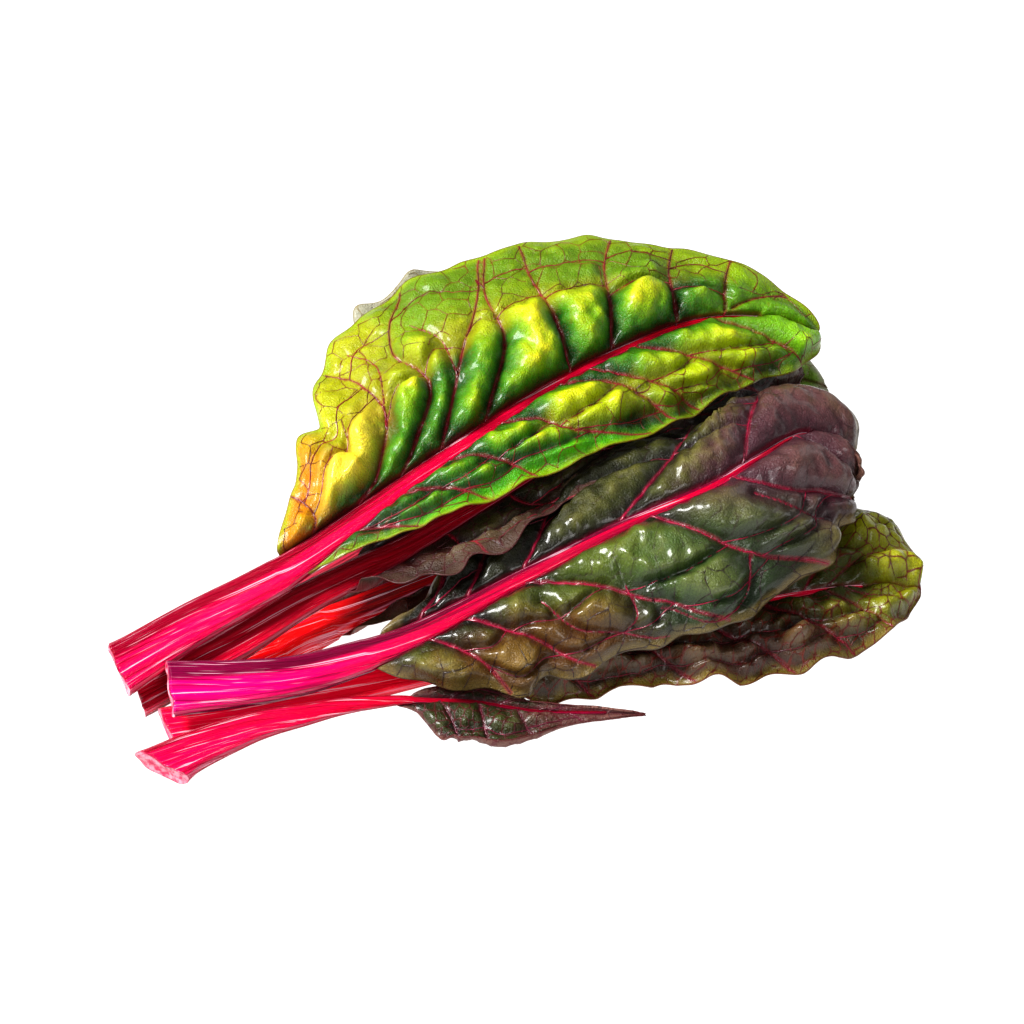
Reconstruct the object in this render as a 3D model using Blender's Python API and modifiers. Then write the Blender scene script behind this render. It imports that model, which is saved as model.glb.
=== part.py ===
"""A bunch of seven red-stalked chard leaves, lying one on another on a table.

Each leaf is two solids: the stalk, which runs on under the blade as its midrib, and the thin blade,
which is slotted round the midrib and closes past the midrib's end. The stalks' cut ends point to -X,
the tips to +X, +Y is the far side of the pile and Z is up, with the table at Z = 0.
The leaves are laid from the lowest to the highest, and each is lifted clear of what it lies on.
"""

import math

import bmesh
import bpy
import numpy as np
from mathutils import Matrix, Vector
from mathutils.bvhtree import BVHTree

MM = 0.001
BLADE_THICKNESS = 1.2
STALK_FLATNESS = 0.62  # a stalk's height over its width
STALK_SINK = 0.3  # how far the stalk's centre lies below the blade, in half heights
CHANNEL = 0.2  # the depth of the channel along the stalk, over half its width
STALK_GAP = 0.4  # between a midrib and the blade slotted round it
CLEARANCE = 2.5  # between a leaf and what it lies on
SQUASH = 0.6  # how much of the lowest stalks is pressed flat on the table
RIB_END = 0.92  # the share of the leaf's length where the midrib stops
TIP_WIDTH = 4.0  # the midrib's width there
ROUNDING = 0.14  # the share of the blade's length that rounds off its tip
ROWS, COLUMNS = 18, 10  # faces of a blade along and across the leaf
STALK_SIDES = 10
SKY = 1.0  # metres above the table, where heights are looked for from

CRIMSON, GREEN, BRONZE, OLIVE, PALE = (
    (0.62, 0.01, 0.09, 1),
    (0.16, 0.34, 0.03, 1),
    (0.09, 0.08, 0.03, 1),
    (0.16, 0.17, 0.03, 1),
    (0.27, 0.40, 0.16, 1),
)

# Lengths are in millimetres and angles in degrees. "rib" is the line of the stalk and midrib, from the
# cut end to the leaf's tip, and "base" is the share of it before the blade begins. "far" and "near" give
# the blade's reach to either side at even steps from its base to its tip, before the tip is rounded off.
# "sweep" is how far the side veins lean towards the tip, and "rise" how far each half stands above level,
# both from base to tip. "arch" is the bulge of each half, as a share of its reach, and "roll" is how far
# the stalk's channel is turned to the near side. A leaf lies beside, not on, the pieces named there.
LEAVES = {
    "right_leaf": dict(
        rib=[(-183, 5, 7), (-154, -5, 7), (-121, -14, 7), (-60, -36, 9), (-8, -56, 10), (45, -76, 12),
             (100, -98, 15), (130, -113, 14), (148, -123, 9)],
        base=0.36, width=21, base_width=13, roll=12, colour=OLIVE, arch=(0.10, 0.08),
        far=[7, 21, 30, 38, 44, 48, 54, 60, 61, 48, 26], near=[9, 24, 30, 30, 31, 37, 39, 38, 38, 32, 20],
        sweep=([-5, 14, 24, 20, 22], [10, 3, 3, 14, 20]), rise=([0, -1, 1, 1, 1], [-12, -16, -18, -22, -22]),
    ),
    "small_leaf": dict(
        rib=[(-199, -19, 11), (-181, -19, 11), (-157, -22, 11), (-135, -28, 11), (-109, -36, 10),
             (-72, -56, 8), (-46, -81, 6), (-20, -100, 5), (-6, -108, 3)],
        base=0.53, width=21, base_width=11, roll=12, colour=BRONZE, arch=(0.1, 0.1),
        far=[4, 8, 11, 12, 12, 11, 10, 9, 7, 4, 2], near=[4, 13, 18, 19, 18, 14, 10, 6, 4, 3, 1],
        sweep=([-5, 8, 32, 50, 55], [8, 0, 0, 0, 0]), rise=([12, 12, 14, 13, 12], [-14, -12, -12, -10, -10]),
    ),
    "hidden_leaf": dict(
        rib=[(-147, 13, 8), (-122, 17, 9), (-95, 17, 10), (-31, 14, 13), (39, 15, 15), (110, 13, 15),
             (172, 0, 11), (200, -12, 5)],
        base=0.24, width=18, base_width=12, roll=10, colour=OLIVE, arch=(0.08, 0.08),
        far=[9, 25, 34, 40, 44, 42, 40, 38, 34, 27, 16], near=[9, 18, 28, 38, 47, 56, 60, 58, 48, 32, 18],
        sweep=([15, 32, 39, 43, 41], [0, 0, 0, 8, 28]), rise=([0, -4, -18, -21, -14], [0, -6, -6, -5, -5]),
    ),
    "dark_leaf": dict(
        rib=[(-178, 8, 23), (-142, -9, 21), (-111, -16, 19), (-71, -29, 28), (-22, -37, 40), (26, -47, 54),
             (69, -58, 65), (97, -56, 67), (132, -50, 62), (154, -60, 46)],
        base=0.25, width=25, base_width=16, roll=20, colour=BRONZE, arch=(0.12, 0.14),
        far=[12, 21, 35, 48, 59, 63, 60, 57, 50, 38, 24], near=[9, 29, 46, 53, 57, 62, 64, 59, 51, 40, 26],
        sweep=([8, 16, 22, 48, 48], [1, -3, 8, 12, 20]), rise=([0, -2, -3, -2, -6], [-25, -33, -31, -36, -41]),
    ),
    "back_leaf": dict(
        rib=[(-147, 36, 8), (-112, 41, 9), (-76, 46, 11), (-41, 49, 14), (18, 50, 24), (75, 47, 37),
             (130, 40, 45), (160, 24, 46), (186, -4, 40)],
        base=0.30, width=16, base_width=11, roll=0, colour=PALE, arch=(0.05, 0.06),
        far=[10, 40, 65, 85, 93, 91, 84, 66, 46, 30, 18], near=[8, 14, 20, 24, 29, 34, 37, 35, 32, 24, 16],
        sweep=([-8, -26, -29, -18, -24], [0, 30, 48, 55, 52]),
        rise=([5, 33, 36, 34, 42], [-10, -14, -20, -22, -20]),
    ),
    "second_leaf": dict(
        rib=[(-184, 27, 9), (-142, 22, 18), (-103, 20, 28), (-57, 12, 40), (-7, 7, 52), (50, 7, 60),
             (112, 10, 60), (150, 12, 56), (178, 6, 50)],
        base=0.36, width=20, base_width=14, roll=15, colour=BRONZE, arch=(0.08, 0.08),
        beside=("dark_leaf_stalk",),
        far=[10, 34, 44, 50, 54, 54, 50, 44, 36, 25, 14], near=[10, 17, 20, 16, 14, 16, 20, 24, 23, 18, 12],
        sweep=([2, 16, 30, 40, 43], [-26, -20, 10, 35, 45]), rise=([4, 0, 4, 6, 8], [-20, -26, -34, -28, -27]),
    ),
    "top_leaf": dict(
        rib=[(-190, 31, 22), (-148, 31, 30), (-109, 26, 42), (-66, 24, 57), (-13, 24, 72), (49, 26, 84),
             (114, 22, 90), (152, 10, 86), (175, -6, 76)],
        base=0.22, width=25, base_width=17, roll=18, colour=GREEN, arch=(0.10, 0.12),
        far=[6, 32, 58, 77, 81, 78, 69, 53, 35, 22, 14], near=[9, 19, 25, 32, 37, 43, 47, 45, 42, 34, 22],
        sweep=([-8, -2, 12, 40, 62], [-5, 4, 0, 28, 41]),
        rise=([30, 14, 21, 21, 13], [-13, -10, -18, -29, -31]),
    ),
}


def curve_through(points, count):
    """Points spaced evenly along a smooth curve through the given ones."""
    known = np.array(points, float)
    known = np.vstack([2 * known[0] - known[1], known, 2 * known[-1] - known[-2]])
    fine = []
    for a, b, c, d in zip(known, known[1:], known[2:], known[3:]):
        for t in np.linspace(0, 1, 20, endpoint=False):
            fine.append(b + 0.5 * t * (c - a + t * (2 * a - 5 * b + 4 * c - d + t * (3 * b - a - 3 * c + d))))
    fine = np.array(fine + [known[-2]])
    run = np.concatenate([[0], np.cumsum(np.linalg.norm(np.diff(fine, axis=0), axis=1))])
    steps = np.linspace(0, run[-1], count)
    return np.stack([np.interp(steps, run, fine[:, k]) for k in range(3)], axis=1)


def smooth_between(values, at):
    """The values at even steps from 0 to 1, joined by a smooth line and read at these places."""
    line = curve_through([(i, v, 0) for i, v in enumerate(values)], 400)
    return np.interp(at * (len(values) - 1), line[:, 0], line[:, 1])


def half_width(leaf, along):
    """Half the stalk's width at these shares of the rib's length."""
    along = np.asarray(along, float)
    stalk = np.interp(along, [0, leaf["base"]], [leaf["width"], leaf["base_width"]])
    past = np.clip((along - leaf["base"]) / (RIB_END - leaf["base"]), 0, 1)
    return 0.5 * (stalk + (TIP_WIDTH - leaf["base_width"]) * past**0.8)


def stalk_roll(leaf, along):
    """How far the stalk, or the midrib, is turned to the near side at these shares of its length."""
    past = np.clip((np.asarray(along, float) - leaf["base"]) / (1 - leaf["base"]), 0, 1)
    lean = (smooth_between(leaf["rise"][0], past) - smooth_between(leaf["rise"][1], past)) / 2
    return np.radians(leaf["roll"] + (lean - leaf["roll"]) * np.clip(past * 3, 0, 1))


def leaf_surface(leaf, along, across):
    """The blade's mid-surface at shares of the rib's length, and from -1, near margin, to 1, far margin."""
    line = curve_through(leaf["rib"], 241)
    heading = np.gradient(line, axis=0)[:, :2]
    heading /= np.linalg.norm(heading, axis=1)[:, None]
    place = along * 240
    rib = np.stack([np.interp(place, range(241), line[:, k]) for k in range(3)], axis=1)
    ahead = np.stack([np.interp(place, range(241), heading[:, k]) for k in range(2)], axis=1)
    aside = np.stack([-ahead[:, 1], ahead[:, 0]], axis=1)
    blade = np.clip((along - leaf["base"]) / (1 - leaf["base"]), 0, 1)
    rounding = np.sqrt(1 - np.clip((blade - 1 + ROUNDING) / ROUNDING, 0, 1) ** 2)
    leafy = along >= leaf["base"]
    surface = np.empty((len(along), len(across), 3))
    for k, (side, name) in enumerate(((1, "far"), (-1, "near"))):
        reach = np.where(leafy, smooth_between(leaf[name], blade) * rounding, half_width(leaf, along))
        sweep = np.radians(smooth_between(leaf["sweep"][k], blade)) * leafy
        rise = np.radians(smooth_between(leaf["rise"][k], blade)) * leafy
        flat = side * np.cos(sweep)[:, None] * aside + np.sin(sweep)[:, None] * ahead
        for j, v in enumerate(across):
            if v * side < 0 or (v == 0 and side < 0):
                continue
            out = abs(v) * reach
            bulge = 4 * leaf["arch"][k] * reach * abs(v) * (1 - abs(v)) * leafy
            surface[:, j, :2] = rib[:, :2] + (out * np.cos(rise))[:, None] * flat
            surface[:, j, 2] = rib[:, 2] + out * np.sin(rise) + bulge
    return surface


def blurred(field, passes):
    """The field, with each value drawn towards its neighbours along and across the leaf."""
    for _ in range(passes):
        edged = np.pad(field, 1, mode="edge")
        beside = edged[:-2, 1:-1] + edged[2:, 1:-1] + edged[1:-1, :-2] + edged[1:-1, 2:]
        field = (beside + 4 * field) / 8
    return field


def height_below(trees, x, y):
    """The lowest height that clears the table and the pieces already placed at this point."""
    hits = [tree.ray_cast(Vector((x * MM, y * MM, SKY)), Vector((0, 0, -1)))[0] for tree in trees]
    return max([0.0] + [hit.z / MM + CLEARANCE for hit in hits if hit is not None])


def settled(leaf, placed, along, across):
    """How far each point of the leaf has to be lifted to clear the table and the leaves below it."""
    trees = [tree for name, tree in placed.items() if name not in leaf.get("beside", ())]
    surface = leaf_surface(leaf, along, across)
    middle = len(across) // 2
    half = half_width(leaf, along)
    need = np.zeros(surface.shape[:2])
    for i, row in enumerate(surface):
        for j, (x, y, z) in enumerate(row):
            off = math.dist((x, y), row[middle, :2]) / (half[i] + CLEARANCE)
            depth = BLADE_THICKNESS / 2
            if off < 1 and along[i] < RIB_END:
                depth = half[i] * STALK_FLATNESS * (STALK_SINK + math.sqrt(1 - off**2))
            floor = height_below(trees, x, y)
            pressed = SQUASH if floor == 0 and along[i] < leaf["base"] else 0
            need[i, j] = max(0.0, floor + depth - z - pressed)
        under_rib = [j for j in range(len(across)) if math.dist(row[j, :2], row[middle, :2]) <= half[i] * 1.01]
        need[i, under_rib] = need[i, under_rib].max()
    lift = need
    for _ in range(12):
        lift = np.maximum(blurred(lift, 3), need)
    return lift


def link(obj, collection):
    collection.objects.link(obj)
    return obj


def finish(name, colour, roughness):
    material = bpy.data.materials.new(name)
    material.use_nodes = True
    shader = material.node_tree.nodes["Principled BSDF"]
    shader.inputs["Base Color"].default_value = colour
    shader.inputs["Roughness"].default_value = roughness
    shader.inputs["Metallic"].default_value = 0.0
    return material


def stalk_section():
    """The stalk's outline across its length: round and flat at the bottom, with a shallow channel on top."""
    curve = bpy.data.curves.new("stalk_section", "CURVE")
    curve.dimensions = "2D"
    spline = curve.splines.new("POLY")
    spline.points.add(STALK_SIDES - 1)
    spline.use_cyclic_u = True
    for step, point in enumerate(spline.points):
        angle = 2 * math.pi * (step + 0.5) / STALK_SIDES
        x, y = math.cos(angle), STALK_FLATNESS * math.sin(angle)
        channel = CHANNEL * math.exp(-((x / 0.45) ** 2)) if y > 0 else 0
        point.co = (x, y - channel, 0, 1)
    section = bpy.data.objects.new("stalk_section", curve)
    section.hide_render = True
    section.display_type = "WIRE"
    return section


def tube_along(name, line, radii, rolls, section, collection):
    """A closed mesh tube of the section along the line, with its size and its turn at each point."""
    curve = bpy.data.curves.new(name, "CURVE")
    curve.dimensions = "3D"
    curve.twist_mode = "Z_UP"
    curve.bevel_mode = "OBJECT"
    curve.bevel_object = section
    curve.use_fill_caps = True
    spline = curve.splines.new("POLY")
    spline.points.add(len(line) - 1)
    for point, place, radius, roll in zip(spline.points, line, radii, rolls):
        point.co = (*(place * MM), 1)
        point.radius = radius * MM
        point.tilt = roll
    guide = link(bpy.data.objects.new(name + "_line", curve), collection)
    bpy.context.view_layer.update()
    mesh = bpy.data.meshes.new_from_object(guide.evaluated_get(bpy.context.evaluated_depsgraph_get()))
    bpy.data.objects.remove(guide)
    shape = bmesh.new()
    shape.from_mesh(mesh)
    bmesh.ops.remove_doubles(shape, verts=shape.verts, dist=1e-5)
    for vertex in shape.verts:
        vertex.co.z = max(vertex.co.z, 0.0)
    bmesh.ops.recalc_face_normals(shape, faces=shape.faces)
    shape.to_mesh(mesh)
    shape.free()
    mesh.name = name
    return link(bpy.data.objects.new(name, mesh), collection)


def blade_sheet(name, surface, collection):
    """The blade as an open sheet: a flat grid bent to the mid-surface, closed to a point at the tip."""
    bpy.ops.mesh.primitive_grid_add(x_subdivisions=ROWS, y_subdivisions=COLUMNS, size=2)
    sheet = bpy.context.object
    sheet.name = sheet.data.name = name
    for old in list(sheet.users_collection):
        old.objects.unlink(sheet)
    link(sheet, collection)
    for vertex in sheet.data.vertices:
        i = round((vertex.co.x + 1) / 2 * ROWS)
        j = round((vertex.co.y + 1) / 2 * COLUMNS)
        vertex.co = surface[i, j] * MM
    shape = bmesh.new()
    shape.from_mesh(sheet.data)
    bmesh.ops.remove_doubles(shape, verts=shape.verts, dist=2e-4)
    shape.to_mesh(sheet.data)
    shape.free()
    return sheet


def build_leaf(name, leaf, placed, section, bunch, helpers):
    petiole = np.linspace(0, leaf["base"], 8)[:-1]
    blade_rows = leaf["base"] + (1 - leaf["base"]) * np.sin(np.linspace(0, math.pi / 2, ROWS + 1))
    along = np.concatenate([petiole, blade_rows])
    across = np.linspace(-1, 1, COLUMNS + 1)
    lift = settled(leaf, placed, along, across)
    surface = leaf_surface(leaf, along, across)
    surface[:, :, 2] += lift

    share = np.append(along[along < RIB_END - 0.01], RIB_END)
    half = half_width(leaf, share)
    rolls = stalk_roll(leaf, share)
    line = leaf_surface(leaf, share, np.array([0.0]))[:, 0]
    line[:, 2] += np.interp(share, along, lift[:, COLUMNS // 2]) - half * STALK_FLATNESS * STALK_SINK
    stalk = tube_along(name + "_stalk", line, half, rolls, section, bunch)
    stalk.data.materials.append(finish(name + "_stalk", CRIMSON, 0.35))
    longer = line.copy()
    for end, inner in ((0, 1), (-1, -2)):
        longer[end] += STALK_GAP * (line[end] - line[inner]) / np.linalg.norm(line[end] - line[inner])
    cutter = tube_along(name + "_slot", longer, half + STALK_GAP / STALK_FLATNESS, rolls, section, helpers)
    cutter.hide_render = True
    cutter.display_type = "WIRE"

    blade = blade_sheet(name + "_blade", surface[len(petiole):], bunch)
    wall = blade.modifiers.new("thickness", "SOLIDIFY")
    wall.thickness = BLADE_THICKNESS * MM
    wall.offset = 0
    slot = blade.modifiers.new("midrib slot", "BOOLEAN")
    slot.operation = "DIFFERENCE"
    slot.object = cutter
    blade.data.materials.append(finish(name + "_blade", leaf["colour"], 0.4))
    for piece in (stalk, blade):
        piece.data.shade_smooth()
    bpy.context.view_layer.update()
    graph = bpy.context.evaluated_depsgraph_get()
    placed.update({piece.name: BVHTree.FromObject(piece, graph) for piece in (stalk, blade)})


def centre_on_origin(bunch, helpers):
    """Moves every mesh so that the bunch stands on the table with its middle over the origin."""
    bpy.context.view_layer.update()
    graph = bpy.context.evaluated_depsgraph_get()
    points = []
    for obj in bunch.objects:
        whole = obj.evaluated_get(graph)
        points += [vertex.co[:] for vertex in whole.to_mesh().vertices]
        whole.to_mesh_clear()
    points = np.array(points)
    middle = (points.min(axis=0) + points.max(axis=0)) / 2
    for obj in [*bunch.objects, *helpers.objects]:
        if obj.type == "MESH":
            obj.data.transform(Matrix.Translation((-middle[0], -middle[1], -points[:, 2].min())))


def main():
    for obj in list(bpy.data.objects):
        bpy.data.objects.remove(obj)
    bunch = bpy.data.collections.new("chard_bunch")
    helpers = bpy.data.collections.new("cutters")
    for collection in (bunch, helpers):
        bpy.context.scene.collection.children.link(collection)
    section = link(stalk_section(), helpers)
    placed = {}
    for name, leaf in LEAVES.items():
        build_leaf(name, leaf, placed, section, bunch, helpers)
    centre_on_origin(bunch, helpers)


main()
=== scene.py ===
"""The looks of a bunch of red-stalked chard: crinkled blades with raised veins on ribbed stalks."""

import math

import bpy
import numpy as np
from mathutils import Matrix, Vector
from mathutils.bvhtree import BVHTree
from mathutils.geometry import delaunay_2d_cdt
from mathutils.kdtree import KDTree


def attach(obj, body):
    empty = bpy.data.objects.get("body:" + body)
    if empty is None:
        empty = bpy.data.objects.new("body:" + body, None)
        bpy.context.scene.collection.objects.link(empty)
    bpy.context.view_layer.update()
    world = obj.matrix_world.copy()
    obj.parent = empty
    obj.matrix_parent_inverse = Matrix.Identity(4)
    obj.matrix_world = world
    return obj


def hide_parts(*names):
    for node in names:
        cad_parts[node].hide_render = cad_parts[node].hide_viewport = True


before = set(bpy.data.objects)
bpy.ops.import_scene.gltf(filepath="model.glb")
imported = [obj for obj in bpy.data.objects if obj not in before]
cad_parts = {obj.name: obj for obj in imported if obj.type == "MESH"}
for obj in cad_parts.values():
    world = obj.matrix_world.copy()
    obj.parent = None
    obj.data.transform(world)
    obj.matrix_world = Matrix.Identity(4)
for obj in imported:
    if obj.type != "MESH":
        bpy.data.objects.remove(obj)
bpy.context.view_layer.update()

MM = 0.001
MIDDLE = np.array([2.4, -12.1])  # the pile's middle, in the millimetres that the leaves are given in
CAD_THICKNESS = 1.2  # of the solid that stands for a blade
THICKNESS = 0.55  # of the blade itself
FLATNESS = 0.62  # a stalk's half height, as a share of its half width
SINK = 0.3  # how far a stalk's middle lies below its rib line, as a share of its half height
RIB_END = 0.92  # where the midrib dies out, as a share of the leaf's length
TIP_WIDTH = 1.6  # of the midrib, where it dies out
ROUNDING = 0.14  # the last share of the blade, over which its outline rounds off
FOOT = 0.07  # how far before its base a blade starts, as a share of the leaf's length
TIP = 0.06  # the last share of the leaf's length, where the blade's rows crowd together
CHANNEL_FLOOR = 0.42  # how high a CAD stalk's channel lies over its middle, in half widths
LINE_STEPS = 600  # of a rib's line
VEIN_STEP = 1.6  # from point to point of a vein
STALK_SIDES = 72  # round a stalk
CAP_RINGS = (0, 0.2, 0.4, 0.6, 0.78, 0.9, 0.97)  # of a cut face, from its middle outwards

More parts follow.
